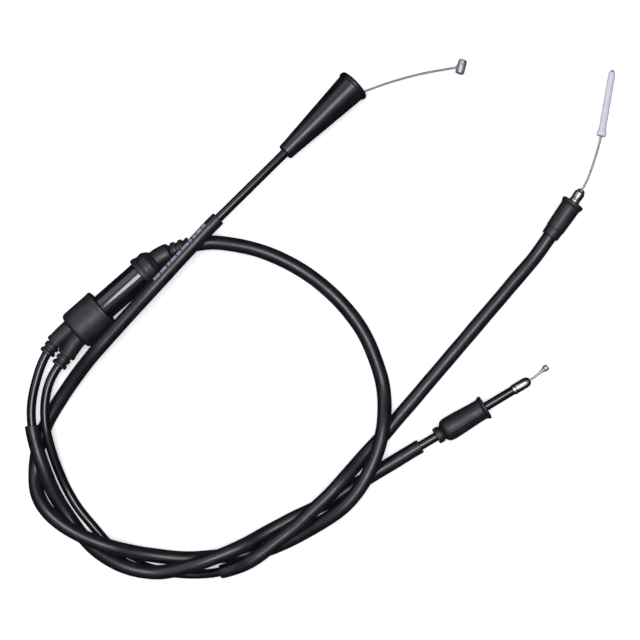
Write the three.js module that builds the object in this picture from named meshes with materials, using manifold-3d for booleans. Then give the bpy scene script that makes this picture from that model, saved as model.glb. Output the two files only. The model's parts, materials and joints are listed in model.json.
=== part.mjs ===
// Motorcycle throttle cable with a one-into-two splitter.
// One cable comes from the twist grip. Inside the splitter its wire pulls a slider, and the
// slider pulls two more wires: one for the carburettor and one for the oil pump.
// Units are millimetres and +Z is up. The coiled cable rests on z = 0, and the origin is in the
// middle of its footprint.
import * as THREE from 'three';
import { mergeVertices } from 'three/addons/utils/BufferGeometryUtils.js';
import Module from 'manifold-3d';

const wasm = await Module();
wasm.setup();

// ---------------------------------------------------------------- driving dimensions

const SLEEVE = { outer: 4.85, bore: 3.8, sides: 8 };
const JACKET = { outer: 3.1, bore: 2.6, sides: 8 };
const COIL = { outer: 2.1, bore: 1.6, sides: 6 };
const LINER = { outer: 1.3, bore: 1.02, sides: 6 };
const WIRE_RADIUS = 0.75;
const WIRE_HOLE = 1.15;
const FERRULE_BORE = 1.35;
const FERRULE_RADIUS = 3.2;
const OUTLET_SIDES = 10;
const GAP = 0.3;

// How far the slider travels from rest: back towards the cap, and forward to the grip cable.
const TRAVEL_BACK = 24;
const TRAVEL_FORWARD = 4;

// Each moving wire end reaches this far inside its conduit. The still run starts after it.
const HIDDEN_TAIL = 26;
const RUN_GAP = 4 * GAP;
const RUN_START = HIDDEN_TAIL + TRAVEL_FORWARD + 2 * GAP;

// Splitter stations are distances from the shoulder of its rubber cap, towards the grip cable.
const SPLITTER = {
  shoulder: [-162.0, -8.7, 11.3],
  heading: 41.3,
  channel: 4.0,
  plug: { from: 1.6, shelf: 20, to: 26 },
  lowerConduitEnd: 10.6,
  lowerFerrule: { from: 10.9, to: 17.9 },
  stubEnd: 22.5,
  body: { from: 20.3, to: 67.2, outer: 9, bore: 7.4 },
  slider: { from: 26.4 + TRAVEL_BACK, to: 34.4 + TRAVEL_BACK, radius: 7.0 },
  topPlug: { from: 62.8, shelf: 64.2, to: 67 },
  upperFerrule: { from: 64.5, to: 72.3 },
  upperConduitEnd: 73.4,
  upperStubEnd: 71,
  cap: { length: 24.6, halfWidth: 14, halfHeight: 10.9 },
  collar: { from: 57.6, to: 70.8, radius: 11.3, topRadius: 10.3 },
  bendStart: 70,
  bendRadius: 45,
  bendSteps: [30, 20, 10],
};

// Where the still wire of a branch starts: clear of the slider's wire at the end of its travel.
const BRANCH_RUN_START = SPLITTER.lowerConduitEnd - SPLITTER.stubEnd + TRAVEL_BACK + RUN_GAP;

// The rubber outlets of the two boots, along their conduits: a plain tube, then a ribbed neck.
const OUTLET = {
  tipStation: -12.7,
  carbSide: -7.2,
  pumpSide: 3.7,
  channel: 3.45,
  tube: { from: 3, to: 22.5, radius: 6.3 },
  neck: { from: 20, to: 34, radius: 4.1 },
  ribs: { starts: [24.4, 28.2, 32.0], width: 2.3, radius: 4.9 },
  end: 38,
};

const TOP_OUTLET = {
  tube: { from: 0, to: 12, radius: 6.4 },
  neck: { from: 10, to: 22, radius: 4.5 },
  ribs: { starts: [12.6, 16.2], width: 1.9, radius: 5.1 },
  flare: { from: 19.8, to: 22, radius: 5.5 },
  end: 25,
};

const GRIP = {
  mouth: [22.1, 154.6, 11.4],
  heading: 45,
  slope: -4.5,
  kinkDepth: 20.8,
  ferrule: { from: 46.2, to: 56, radius: 3.6 },
  tailEnd: 52,
  coverLength: 65,
  straightLength: 139.7,
  sleeve: { fromMouth: 126.5, beforeSplitter: 26 },
  wire: { heading: 28, length: 87.0, turn: -19.5, slope: -6.4 },
  nipple: { radius: 3, length: 9.5, heading: 74.3 },
};

const CARB = {
  mouth: [172.3, 85.2, 8.8],
  heading: 55.5,
  slope: 4.3,
  straightLength: 53.7,
  ferruleLength: 14,
  boot: { lip: 9.8, length: 27.4 },
  sleeve: { fromSplitter: 248, beforeMouth: 21 },
  guide: { length: 42.8, radius: 2.3 },
};

const PUMP = {
  mouth: [137.7, -40.3, 9.6],
  heading: 31.2,
  slope: 1.5,
  straightLength: 83.6,
  ferruleLength: 12,
  boot: { lip: 34.1, length: 38.2 },
  sleeve: { fromSplitter: 83, beforeMouth: 83.6 },
};

// Plan position and height of each cable between its straight ends. Where two strands cross,
// their heights differ by more than a sleeve's diameter.
const GRIP_WAY = [
  [-108.2, 21.4, 22.0], [-129.4, -1.3, 20.2], [-146.9, -20.5, 17.8], [-159.1, -35.0, 12.0],
  [-169.4, -49.2, 7.2], [-178.0, -61.4, 4.9], [-184.8, -75.9, 4.8], [-188.6, -91.5, 4.8],
  [-189.2, -104.3, 6.2], [-187.2, -114.2, 11.4], [-180.7, -125.1, 14.8], [-171.6, -133.7, 14.8],
  [-162.0, -139.9, 14.8], [-149.2, -145.7, 14.8], [-137.3, -149.8, 13.7], [-126.1, -153.3, 9.8],
  [-112.9, -156.2, 6.5], [-96.4, -158.2, 4.8], [-76.6, -158.7, 4.8], [-56.8, -157.0, 4.8],
  [-38.9, -153.8, 4.8], [-20.5, -146.2, 6.0], [-5.3, -137.0, 9.8], [10.4, -126.9, 14.9],
  [22.9, -114.3, 16.5], [31.4, -99.9, 16.5], [37.2, -85.8, 15.5], [40.8, -71.3, 14.2],
  [41.9, -56.8, 8.8], [40.9, -43.6, 4.9], [38.1, -33.0, 4.8], [28.6, -9.9, 4.8],
  [14.0, 9.8, 4.8], [-6.6, 28.1, 4.8], [-33.7, 42.9, 5.0], [-51.5, 47.9, 6.5],
  [-63.6, 49.8, 8.5], [-75.9, 50.4, 10.4],
];

const CARB_WAY = [
  [-172.6, -30.4, 11.0], [-178.0, -39.3, 11.8], [-181.0, -50.8, 13.2], [-181.6, -65.3, 13.4],
  [-179.6, -78.5, 12.6], [-175.8, -93.1, 8.0], [-170.4, -109.5, 3.8], [-158.3, -129.7, 3.2],
  [-144.2, -146.5, 3.2], [-137.3, -153.1, 3.2], [-128.7, -159.1, 3.2], [-118.1, -164.0, 3.2],
  [-106.3, -167.3, 3.2], [-93.1, -169.2, 3.2], [-79.9, -169.2, 4.4], [-66.7, -167.0, 8.9],
  [-54.8, -163.0, 11.3], [-46.9, -159.3, 14.4], [-35.0, -150.8, 14.9], [-20.5, -139.6, 14.9],
  [-7.3, -127.7, 15.9], [5.9, -114.8, 15.8], [17.8, -102.0, 12.4], [26.7, -92.4, 7.4],
  [37.6, -80.9, 4.9], [51.3, -65.9, 4.8], [78.1, -35.2, 4.8], [104.3, -4.1, 4.8],
  [129.2, 25.6, 4.8],
];

const PUMP_WAY = [
  [-181.1, -23.1, 11.0], [-187.4, -40.5, 12.4], [-190.3, -58.1, 14.4], [-189.3, -73.3, 15.0],
  [-187.0, -83.2, 15.0], [-182.6, -96.4, 14.2], [-178.7, -108.6, 11.6], [-175.0, -118.0, 8.0],
  [-168.6, -129.4, 5.0], [-163.0, -137.8, 4.8], [-153.8, -148.7, 5.2], [-147.2, -154.0, 7.0],
  [-138.6, -159.2, 9.4], [-129.4, -163.2, 10.9], [-118.1, -166.1, 11.3], [-106.3, -166.8, 11.5],
  [-93.1, -164.3, 13.4], [-81.2, -160.6, 15.0], [-70.0, -156.8, 15.2], [-53.5, -150.0, 13.3],
  [-38.9, -143.0, 7.2], [-23.8, -134.8, 4.8], [0.5, -123.6, 4.8], [25.7, -107.2, 4.8],
  [50.5, -92.6, 6.2],
];

// ---------------------------------------------------------------- materials

function finish(color, roughness, metalness = 0) {
  return new THREE.MeshStandardMaterial({ color, roughness, metalness });
}

const MATERIAL = {
  gloss: finish(0x0c0c0e, 0.22),
  sleeve: finish(0x1b1b20, 0.48),
  rubber: finish(0x232326, 0.72),
  nylon: finish(0xe9e6dc, 0.5),
  liner: finish(0xf4f4f0, 0.4),
  guide: finish(0xe6ebf5, 0.3),
  steel: finish(0x9a9c9e, 0.38, 0.9),
  coil: finish(0x7d7f82, 0.45, 0.9),
  zinc: finish(0xb4b6b8, 0.42, 0.85),
  chrome: finish(0xd6d4ce, 0.14, 1),
  brass: finish(0xb5a984, 0.3, 0.95),
};

// ---------------------------------------------------------------- places and directions

const UP = new THREE.Vector3(0, 0, 1);

function vec(point) {
  return new THREE.Vector3(...point);
}

// A unit vector from its heading in plan, counter-clockwise from +X, and its slope, in degrees.
function direction(heading, slope = 0) {
  const h = THREE.MathUtils.degToRad(heading);
  const s = THREE.MathUtils.degToRad(slope);
  return new THREE.Vector3(Math.cos(h) * Math.cos(s), Math.sin(h) * Math.cos(s), Math.sin(s));
}

// The point a given depth back inside a cable end, measured from its mouth.
function inside(end, depth) {
  return vec(end.mouth).addScaledVector(direction(end.heading, end.slope), -depth);
}

// A point in the splitter: its station, its offset to the left and its height above the axis.
const splitterAxis = direction(SPLITTER.heading);
const splitterLeft = direction(SPLITTER.heading + 90);

function inSplitter(station, left = 0, rise = 0) {
  return vec(SPLITTER.shoulder)
    .addScaledVector(splitterAxis, station)
    .addScaledVector(splitterLeft, left)
    .addScaledVector(UP, rise);
}

// ---------------------------------------------------------------- routes

// A chain of stations. Tubes that share a route share its stations, so their walls stay parallel.
class Route extends THREE.Curve {
  constructor(stations) {
    super();
    this.stations = stations;
    this.marks = [0];
    for (let i = 1; i < stations.length; i += 1) {
      this.marks.push(this.marks[i - 1] + stations[i].distanceTo(stations[i - 1]));
    }
    this.length = this.marks[this.marks.length - 1];
  }

  // A smooth route through the points, with a station at every few degrees of turning. It is
  // straight up to the second point and from the last but one.
  static through(points, maxTurn = 11) {
    const smooth = new THREE.CatmullRomCurve3(points.slice(1, -1), false, 'centripetal');
    const fine = smooth.getSpacedPoints(2000);
    const stations = [points[0], fine[0]];
    let turned = 0;
    for (let i = 1; i < fine.length - 1; i += 1) {
      const before = fine[i].clone().sub(fine[i - 1]);
      const after = fine[i + 1].clone().sub(fine[i]);
      turned += THREE.MathUtils.radToDeg(before.angleTo(after));
      if (turned >= maxTurn) {
        stations.push(fine[i]);
        turned = 0;
      }
    }
    stations.push(fine[fine.length - 1], points[points.length - 1]);
    return new Route(stations);
  }

  // Straight and curved legs in turn. Each leg is [length, turn to the left, slope], in degrees.
  static legs(start, heading, legs) {
    const stations = [start.clone()];
    let course = heading;
    for (const [length, turn, slope] of legs) {
      const steps = Math.max(1, Math.ceil(Math.abs(turn) / 4));
      for (let i = 0; i < steps; i += 1) {
        const step = direction(course + turn / steps / 2, slope).multiplyScalar(length / steps);
        stations.push(stations[stations.length - 1].clone().add(step));
        course += turn / steps;
      }
    }
    return new Route(stations);
  }

  at(distance) {
    let i = 1;
    while (i < this.marks.length - 1 && this.marks[i] < distance) {
      i += 1;
    }
    const share = (distance - this.marks[i - 1]) / (this.marks[i] - this.marks[i - 1]);
    return this.stations[i - 1].clone().lerp(this.stations[i], share);
  }

  slice(from, to) {
    const kept = this.stations.filter((_, i) => this.marks[i] > from + 0.5 && this.marks[i] < to - 0.5);
    return new Route([this.at(from), ...kept, this.at(to)]);
  }

  getSpacedPoints() {
    return this.stations;
  }

  // Frames that never roll: one side of every section stays level.
  computeFrenetFrames() {
    const last = this.stations.length - 1;
    const frames = { tangents: [], normals: [], binormals: [] };
    this.stations.forEach((point, i) => {
      const tangent = new THREE.Vector3();
      if (i > 0) {
        tangent.add(point.clone().sub(this.stations[i - 1]).normalize());
      }
      if (i < last) {
        tangent.add(this.stations[i + 1].clone().sub(point).normalize());
      }
      tangent.normalize();
      const side = UP.clone().cross(tangent).normalize();
      frames.tangents.push(tangent);
      frames.normals.push(side);
      frames.binormals.push(tangent.clone().cross(side));
    });
    return frames;
  }
}

// ---------------------------------------------------------------- shapes

function polygon(Type, radius, sides) {
  const outline = new Type();
  for (let i = 0; i < sides; i += 1) {
    const angle = ((i + 0.5) * 2 * Math.PI) / sides;
    const x = radius * Math.cos(angle);
    const y = radius * Math.sin(angle);
    if (i === 0) {
      outline.moveTo(x, y);
    } else {
      outline.lineTo(x, y);
    }
  }
  outline.closePath();
  return outline;
}

function sweep(route, radius, sides, bore = 0, boreSides = sides) {
  const section = polygon(THREE.Shape, radius, sides);
  if (bore > 0) {
    section.holes.push(polygon(THREE.Path, bore, boreSides));
  }
  return new THREE.ExtrudeGeometry(section, {
    steps: route.stations.length - 1,
    curveSegments: 1,
    extrudePath: route,
  });
}

// A turned piece. The profile is a list of [distance along the axis, radius].
function turned(profile, origin, axis, segments = 16) {
  const outline = profile.map(([along, radius]) => new THREE.Vector2(radius, along));
  const geometry = new THREE.LatheGeometry(outline, segments);
  const turn = new THREE.Quaternion().setFromUnitVectors(new THREE.Vector3(0, 1, 0), axis);
  geometry.applyMatrix4(new THREE.Matrix4().compose(origin, turn, new THREE.Vector3(1, 1, 1)));
  return geometry;
}

function rod(origin, axis, from, to, radius, segments = 16) {
  return turned([[from, 0], [from, radius], [to, radius], [to, 0]], origin, axis, segments);
}

function ring(origin, axis, from, to, outer, bore, segments = 16) {
  const profile = [[from, bore], [from, outer], [to, outer], [to, bore], [from, bore]];
  return turned(profile, origin, axis, segments);
}

// An upright oval across the splitter axis, extruded between two stations.
function ovalBlock(from, to, halfWidth, halfHeight, bevel = 0) {
  const outline = new THREE.Shape();
  outline.absellipse(0, 0, halfWidth - bevel, halfHeight - bevel, 0, 2 * Math.PI);
  const geometry = new THREE.ExtrudeGeometry(outline, {
    depth: to - from - 2 * bevel,
    curveSegments: 12,
    bevelEnabled: bevel > 0,
    bevelSize: bevel,
    bevelThickness: bevel,
    bevelSegments: 2,
  });
  const place = new THREE.Matrix4().makeBasis(splitterLeft, UP, splitterAxis);
  geometry.applyMatrix4(place.setPosition(inSplitter(from + bevel)));
  return geometry;
}

// ---------------------------------------------------------------- solid joins and cuts

function solid(geometry) {
  const bare = geometry.clone();
  bare.deleteAttribute('normal');
  bare.deleteAttribute('uv');
  const merged = mergeVertices(bare, 1e-4);
  return new wasm.Manifold(new wasm.Mesh({
    numProp: 3,
    vertProperties: new Float32Array(merged.attributes.position.array),
    triVerts: new Uint32Array(merged.index.array),
  }));
}

function geometryOf(body) {
  const mesh = body.getMesh();
  const geometry = new THREE.BufferGeometry();
  geometry.setAttribute('position', new THREE.BufferAttribute(new Float32Array(mesh.vertProperties), 3));
  geometry.setIndex(new THREE.BufferAttribute(new Uint32Array(mesh.triVerts), 1));
  geometry.computeVertexNormals();
  return geometry;
}

function carve(keep, cut) {
  const joined = keep.map(solid).reduce((sum, next) => sum.add(next));
  return geometryOf(cut.map(solid).reduce((left, next) => left.subtract(next), joined));
}

const part = new THREE.Group();

function add(name, geometry, material) {
  const mesh = new THREE.Mesh(geometry, material);
  mesh.name = name;
  part.add(mesh);
}

// ---------------------------------------------------------------- the three cable routes

const gripBend = SPLITTER.bendSteps.map((degrees) => {
  const angle = THREE.MathUtils.degToRad(degrees);
  const radius = SPLITTER.bendRadius;
  return inSplitter(SPLITTER.bendStart + radius * Math.sin(angle), -radius * (1 - Math.cos(angle)));
});

const gripRoute = Route.through([
  inside(GRIP, GRIP.ferrule.to + GAP),
  inside(GRIP, GRIP.straightLength - 4),
  inside(GRIP, GRIP.straightLength),
  ...GRIP_WAY.map(vec),
  ...gripBend,
  inSplitter(SPLITTER.upperConduitEnd),
]);

function branchRoute(side, outletSide, way, end) {
  return Route.through([
    inSplitter(SPLITTER.lowerConduitEnd, side),
    inSplitter(4, side),
    inSplitter(-3, side - 0.3),
    inSplitter(OUTLET.tipStation, outletSide),
    ...way.map(vec),
    inside(end, end.straightLength),
    inside(end, end.straightLength - 4),
    inside(end, end.ferruleLength + GAP),
  ]);
}

const carbRoute = branchRoute(-SPLITTER.channel, OUTLET.carbSide, CARB_WAY, CARB);
const pumpRoute = branchRoute(SPLITTER.channel, OUTLET.pumpSide, PUMP_WAY, PUMP);

// Jacket, wound steel coil, plastic liner and the still part of the wire inside one conduit.
function addConduit(name, route, wireFrom, wireTo) {
  const layer = (size, boreSides) => sweep(route, size.outer, size.sides, size.bore, boreSides);
  add(`${name}_jacket`, layer(JACKET, 6), MATERIAL.gloss);
  add(`${name}_coil`, layer(COIL, 6), MATERIAL.coil);
  add(`${name}_liner`, layer(LINER, 6), MATERIAL.liner);
  add(`${name}_wire_run`, sweep(route.slice(wireFrom, wireTo), WIRE_RADIUS, 6), MATERIAL.steel);
}

function addSleeve(name, route, from, to) {
  const tube = sweep(route.slice(from, to), SLEEVE.outer, SLEEVE.sides, SLEEVE.bore);
  add(name, tube, MATERIAL.sleeve);
}

// ---------------------------------------------------------------- grip end

function addGripEnd() {
  const outward = direction(GRIP.heading, GRIP.slope);
  const inward = outward.clone().negate();
  const mouth = vec(GRIP.mouth);
  const { ferrule, wire, nipple } = GRIP;

  add('grip_cover', turned([
    [0, 9.6], [0, 10.9], [0.9, 11.4], [2.6, 11.4], [3.6, 10.2], [56, 5.9], [GRIP.coverLength, 5.4],
    [GRIP.coverLength, 3.5], [58.5, 3.5], [56.6, 4.1], [8, 7.6], [0, 9.6],
  ], mouth, inward, 24), MATERIAL.gloss);
  add('grip_ferrule', ring(mouth, inward, ferrule.from, ferrule.to, ferrule.radius, FERRULE_BORE),
    MATERIAL.brass);
  const tail = [inside(GRIP, GRIP.tailEnd), inside(GRIP, GRIP.kinkDepth + GAP)];
  add('grip_wire_tail', sweep(new Route(tail), WIRE_RADIUS, 6), MATERIAL.steel);

  const kink = inside(GRIP, GRIP.kinkDepth);
  const strand = Route.legs(kink, wire.heading, [[wire.length, wire.turn, wire.slope]]);
  add('grip_wire', sweep(strand.slice(GAP, strand.length), WIRE_RADIUS, 6), MATERIAL.steel);

  const endHeading = wire.heading + wire.turn;
  const tip = strand.at(strand.length);
  const centre = tip.addScaledVector(direction(endHeading), nipple.radius + 3 * GAP);
  const half = nipple.length / 2;
  add('grip_nipple', turned([
    [-half, 0], [-half, nipple.radius - 0.4], [0.4 - half, nipple.radius],
    [half - 0.4, nipple.radius], [half, nipple.radius - 0.4], [half, 0],
  ], centre, direction(nipple.heading)), MATERIAL.zinc);

  const runFrom = GRIP.tailEnd + TRAVEL_BACK + RUN_GAP - ferrule.to - GAP;
  const runTo = SPLITTER.upperStubEnd + TRAVEL_FORWARD + RUN_GAP - SPLITTER.upperConduitEnd;
  addConduit('grip', gripRoute, runFrom, gripRoute.length - runTo);
  const sleeveFrom = GRIP.sleeve.fromMouth - ferrule.to - GAP;
  addSleeve('grip_sleeve', gripRoute, sleeveFrom, gripRoute.length - GRIP.sleeve.beforeSplitter);
}

// ---------------------------------------------------------------- splitter

function addSplitterShell() {
  const { plug, body, topPlug, cap, collar, channel } = SPLITTER;
  const shoulder = inSplitter(0);

  add('splitter_body', ring(shoulder, splitterAxis, body.from, body.to, body.outer, body.bore, 20),
    MATERIAL.gloss);

  const channels = [channel, -channel].flatMap((side) => [
    rod(inSplitter(0, side), splitterAxis, 0, plug.shelf - 1.8, 3.6, 12),
    rod(inSplitter(0, side), splitterAxis, 0, plug.to + 1, WIRE_HOLE, 8),
  ]);
  add('splitter_end_plug', carve([
    ovalBlock(plug.from, plug.shelf, 11, 7.6),
    rod(shoulder, splitterAxis, plug.shelf - 1, plug.to, body.bore - 0.3, 20),
  ], channels), MATERIAL.nylon);

  add('splitter_top_plug', turned([
    [topPlug.from, WIRE_HOLE], [topPlug.from, body.bore - 0.3], [topPlug.to, body.bore - 0.3],
    [topPlug.to, 3.5], [topPlug.shelf, 3.5], [topPlug.shelf, WIRE_HOLE], [topPlug.from, WIRE_HOLE],
  ], shoulder, splitterAxis, 20), MATERIAL.nylon);

  // Each rubber outlet follows its conduit, with three ribs and a flared end.
  const outletSolids = (size, slice) => [
    sweep(slice(size.tube.from, size.tube.to), size.tube.radius, OUTLET_SIDES),
    sweep(slice(size.neck.from, size.neck.to), size.neck.radius, OUTLET_SIDES),
    ...size.ribs.starts.map((start) => (
      sweep(slice(start, start + size.ribs.width), size.ribs.radius, OUTLET_SIDES)
    )),
  ];
  const branches = [carbRoute, pumpRoute].map((route) => (from, to) => route.slice(from, to));
  const outletChannels = branches.map((slice) => (
    sweep(slice(0, OUTLET.end), OUTLET.channel, OUTLET_SIDES)
  ));
  add('splitter_bottom_boot', carve([
    ovalBlock(0, cap.length, cap.halfWidth, cap.halfHeight, 1.6),
    ...branches.flatMap((slice) => outletSolids(OUTLET, slice)),
  ], [
    ovalBlock(plug.from - GAP, plug.shelf + GAP, 11 + GAP, 7.9),
    rod(shoulder, splitterAxis, plug.shelf, cap.length + 1, body.outer + GAP, 20),
    ...outletChannels,
  ]), MATERIAL.rubber);

  // The top boot grips the body with a collar, then narrows and bends with the cable.
  const neck = (from, to) => gripRoute.slice(gripRoute.length - to, gripRoute.length - from);
  add('splitter_top_boot', carve([
    turned([
      [collar.from, 0], [collar.from, collar.radius - 0.5], [collar.from + 1, collar.radius],
      [collar.to - 2, collar.topRadius], [collar.to, 8.6], [SPLITTER.upperConduitEnd, 6.6],
      [SPLITTER.upperConduitEnd, 0],
    ], shoulder, splitterAxis, 20),
    ...outletSolids(TOP_OUTLET, neck),
    sweep(neck(TOP_OUTLET.flare.from, TOP_OUTLET.flare.to), TOP_OUTLET.flare.radius, OUTLET_SIDES),
  ], [
    rod(shoulder, splitterAxis, collar.from - 1, body.to + 0.4, body.outer + GAP, 20),
    rod(shoulder, splitterAxis, body.to, SPLITTER.upperConduitEnd + 0.2, 3.55, 12),
    sweep(neck(-0.01, TOP_OUTLET.end), OUTLET.channel, OUTLET_SIDES),
  ]), MATERIAL.rubber);
}

function addSplitterMoving() {
  const { slider, channel, upperFerrule, lowerFerrule } = SPLITTER;
  const shoulder = inSplitter(0);
  const middle = (slider.from + slider.to) / 2;
  const bottom = slider.from - 1;
  const top = slider.to + 1;
  const sides = [['carb', -channel], ['pump', channel]];

  add('splitter_slider', carve(
    [rod(shoulder, splitterAxis, slider.from, slider.to, slider.radius, 20)],
    [
      rod(shoulder, splitterAxis, bottom, middle, 2.0, 10),
      rod(shoulder, splitterAxis, bottom, top, WIRE_HOLE, 8),
      ...sides.flatMap(([, side]) => [
        rod(inSplitter(0, side), splitterAxis, middle, top, 1.75, 10),
        rod(inSplitter(0, side), splitterAxis, bottom, top, 1.0, 8),
      ]),
    ],
  ), MATERIAL.nylon);

  add('slider_grip_nipple', rod(shoulder, splitterAxis, slider.from + 0.4, middle - 0.4, 1.6, 10),
    MATERIAL.zinc);
  add('slider_grip_wire',
    rod(shoulder, splitterAxis, middle - 0.1, SPLITTER.upperStubEnd, WIRE_RADIUS, 6), MATERIAL.steel);
  add('splitter_grip_ferrule',
    ring(shoulder, splitterAxis, upperFerrule.from, upperFerrule.to, FERRULE_RADIUS, WIRE_HOLE),
    MATERIAL.brass);

  for (const [name, side] of sides) {
    const origin = inSplitter(0, side);
    add(`slider_${name}_nipple`, rod(origin, splitterAxis, middle + 0.4, slider.to - 0.4, 1.4, 10),
      MATERIAL.zinc);
    add(`slider_${name}_wire`, rod(origin, splitterAxis, SPLITTER.stubEnd, middle + 0.1, 0.7, 6),
      MATERIAL.steel);
    add(`splitter_${name}_ferrule`,
      ring(origin, splitterAxis, lowerFerrule.from, lowerFerrule.to, FERRULE_RADIUS, WIRE_HOLE),
      MATERIAL.brass);
  }
}

// ---------------------------------------------------------------- carburettor end

function addCarbEnd() {
  const outward = direction(CARB.heading, CARB.slope);
  const inward = outward.clone().negate();
  const mouth = vec(CARB.mouth);
  const { boot, guide } = CARB;

  addConduit('carb', carbRoute, BRANCH_RUN_START, carbRoute.length - RUN_START + CARB.ferruleLength);
  const sleeveTo = carbRoute.length + CARB.ferruleLength - CARB.sleeve.beforeMouth;
  addSleeve('carb_sleeve', carbRoute, CARB.sleeve.fromSplitter, sleeveTo);

  add('carb_ferrule', turned([
    [0, FERRULE_BORE], [0, 2.1], [0.6, 2.5], [1.6, 2.5], [1.6, 3.1], [2.2, 3.5],
    [CARB.ferruleLength, 3.5], [CARB.ferruleLength, FERRULE_BORE], [0, FERRULE_BORE],
  ], mouth, inward), MATERIAL.brass);

  add('carb_boot', turned([
    [0, 6.3], [0, 7.2], [0.8, 7.8], [2.2, 7.8], [3.2, 6.7], [20.5, 6.4], [22.5, 6.1],
    [boot.length, 5.9], [boot.length, 5.3], [10, 5.3], [0, 6.3],
  ], inside(CARB, boot.lip), inward, 20), MATERIAL.rubber);

  const start = inside(CARB, HIDDEN_TAIL);
  const strand = Route.legs(start, CARB.heading, [
    [HIDDEN_TAIL + 1, 0, CARB.slope], [6, 13.5, 2], [27, 5.5, -2], [4, 4, -2],
    [guide.length, 3, -1], [1.6, 0, -1],
  ]);
  const guideEnd = strand.length - 1.6;
  const guideStart = guideEnd - guide.length;
  const cut = guideEnd - 4.6;
  add('carb_wire', sweep(strand.slice(0, cut), WIRE_RADIUS, 6), MATERIAL.steel);

  const tube = strand.slice(guideStart, guideEnd);
  const flare = strand.slice(guideStart, guideStart + 4.5);
  add('carb_wire_guide', carve(
    [sweep(tube, guide.radius, 10), sweep(flare, guide.radius + 0.9, 10)],
    [
      sweep(strand.slice(guideStart - 1, cut - 0.3), 1.15, 8),
      sweep(strand.slice(cut - 0.5, strand.length), 1.75, 8),
    ],
  ), MATERIAL.guide);
  add('carb_nipple', sweep(strand.slice(cut + 0.3, strand.length), 1.5, 8), MATERIAL.zinc);
}

// ---------------------------------------------------------------- oil pump end

function addPumpEnd() {
  const outward = direction(PUMP.heading, PUMP.slope);
  const inward = outward.clone().negate();
  const mouth = vec(PUMP.mouth);
  const { boot } = PUMP;

  addConduit('pump', pumpRoute, BRANCH_RUN_START, pumpRoute.length - RUN_START + PUMP.ferruleLength);
  const sleeveTo = pumpRoute.length + PUMP.ferruleLength - PUMP.sleeve.beforeMouth;
  addSleeve('pump_sleeve', pumpRoute, PUMP.sleeve.fromSplitter, sleeveTo);

  add('pump_ferrule', turned([
    [0, FERRULE_BORE], [0, 1.9], [0.7, 2.7], [1.9, 3.3], [3.4, 3.5],
    [PUMP.ferruleLength, 3.5], [PUMP.ferruleLength, FERRULE_BORE], [0, FERRULE_BORE],
  ], mouth, inward), MATERIAL.chrome);

  add('pump_boot', turned([
    [0, 6.2], [0, 7.8], [0.8, 8.4], [2.0, 8.4], [3.0, 7.0], [22, 7.9], [29.5, 7.9], [32.6, 5.9],
    [33.4, 4.8], [34.4, 5.5], [boot.length, 5.4], [boot.length, 3.45], [30.5, 3.45], [27, 5.8], [0, 6.2],
  ], inside(PUMP, boot.lip), inward, 20), MATERIAL.rubber);

  const start = inside(PUMP, HIDDEN_TAIL);
  const strand = Route.legs(start, PUMP.heading, [
    [HIDDEN_TAIL + 0.6, 0, PUMP.slope], [6.3, 9.5, 0],
  ]);
  add('pump_wire', sweep(strand, WIRE_RADIUS, 6), MATERIAL.steel);
  const tip = strand.at(strand.length);
  add('pump_nipple', turned([
    [0.3, 0], [0.3, 0.9], [5.0, 1.9], [5.6, 2.15], [7.4, 2.15], [7.9, 1.7], [7.9, 0],
  ], tip, direction(PUMP.heading + 9.5)), MATERIAL.zinc);
}

addGripEnd();
addSplitterShell();
addSplitterMoving();
addCarbEnd();
addPumpEnd();

const extent = new THREE.Box3().setFromObject(part, true);
const centre = extent.getCenter(new THREE.Vector3());
part.position.set(-centre.x, -centre.y, -extent.min.z);

export default part;
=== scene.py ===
"""The looks of a coiled motorcycle throttle cable with a one-into-two splitter.

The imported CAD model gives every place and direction. Each visible piece is a fine surface, swept
along a centreline that is read back from a CAD tube, or turned round the axis of a joint or mount.
"""
import json
import math

import bmesh
import bpy
import numpy as np
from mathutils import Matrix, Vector


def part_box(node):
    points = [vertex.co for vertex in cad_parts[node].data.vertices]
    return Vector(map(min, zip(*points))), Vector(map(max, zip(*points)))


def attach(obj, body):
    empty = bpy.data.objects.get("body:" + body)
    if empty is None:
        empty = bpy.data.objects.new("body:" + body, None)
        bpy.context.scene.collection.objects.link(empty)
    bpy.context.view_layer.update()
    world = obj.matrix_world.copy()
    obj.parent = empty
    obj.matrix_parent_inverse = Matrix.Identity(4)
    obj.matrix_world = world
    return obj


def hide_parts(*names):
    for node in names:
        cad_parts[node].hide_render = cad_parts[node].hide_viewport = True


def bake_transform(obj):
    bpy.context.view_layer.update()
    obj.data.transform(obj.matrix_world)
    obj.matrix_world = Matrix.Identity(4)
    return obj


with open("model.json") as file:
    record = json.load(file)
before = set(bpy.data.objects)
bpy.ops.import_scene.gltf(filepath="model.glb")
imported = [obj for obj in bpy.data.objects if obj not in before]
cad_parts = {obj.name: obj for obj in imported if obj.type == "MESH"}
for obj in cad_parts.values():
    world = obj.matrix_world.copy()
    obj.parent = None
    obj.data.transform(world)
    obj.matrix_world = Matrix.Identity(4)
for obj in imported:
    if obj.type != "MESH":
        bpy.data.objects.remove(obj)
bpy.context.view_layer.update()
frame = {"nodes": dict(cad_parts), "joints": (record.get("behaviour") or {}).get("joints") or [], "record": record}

MM = 0.001
AXIS = {joint["name"]: Vector(joint["axis"]).normalized() for joint in frame["joints"]}

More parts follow.
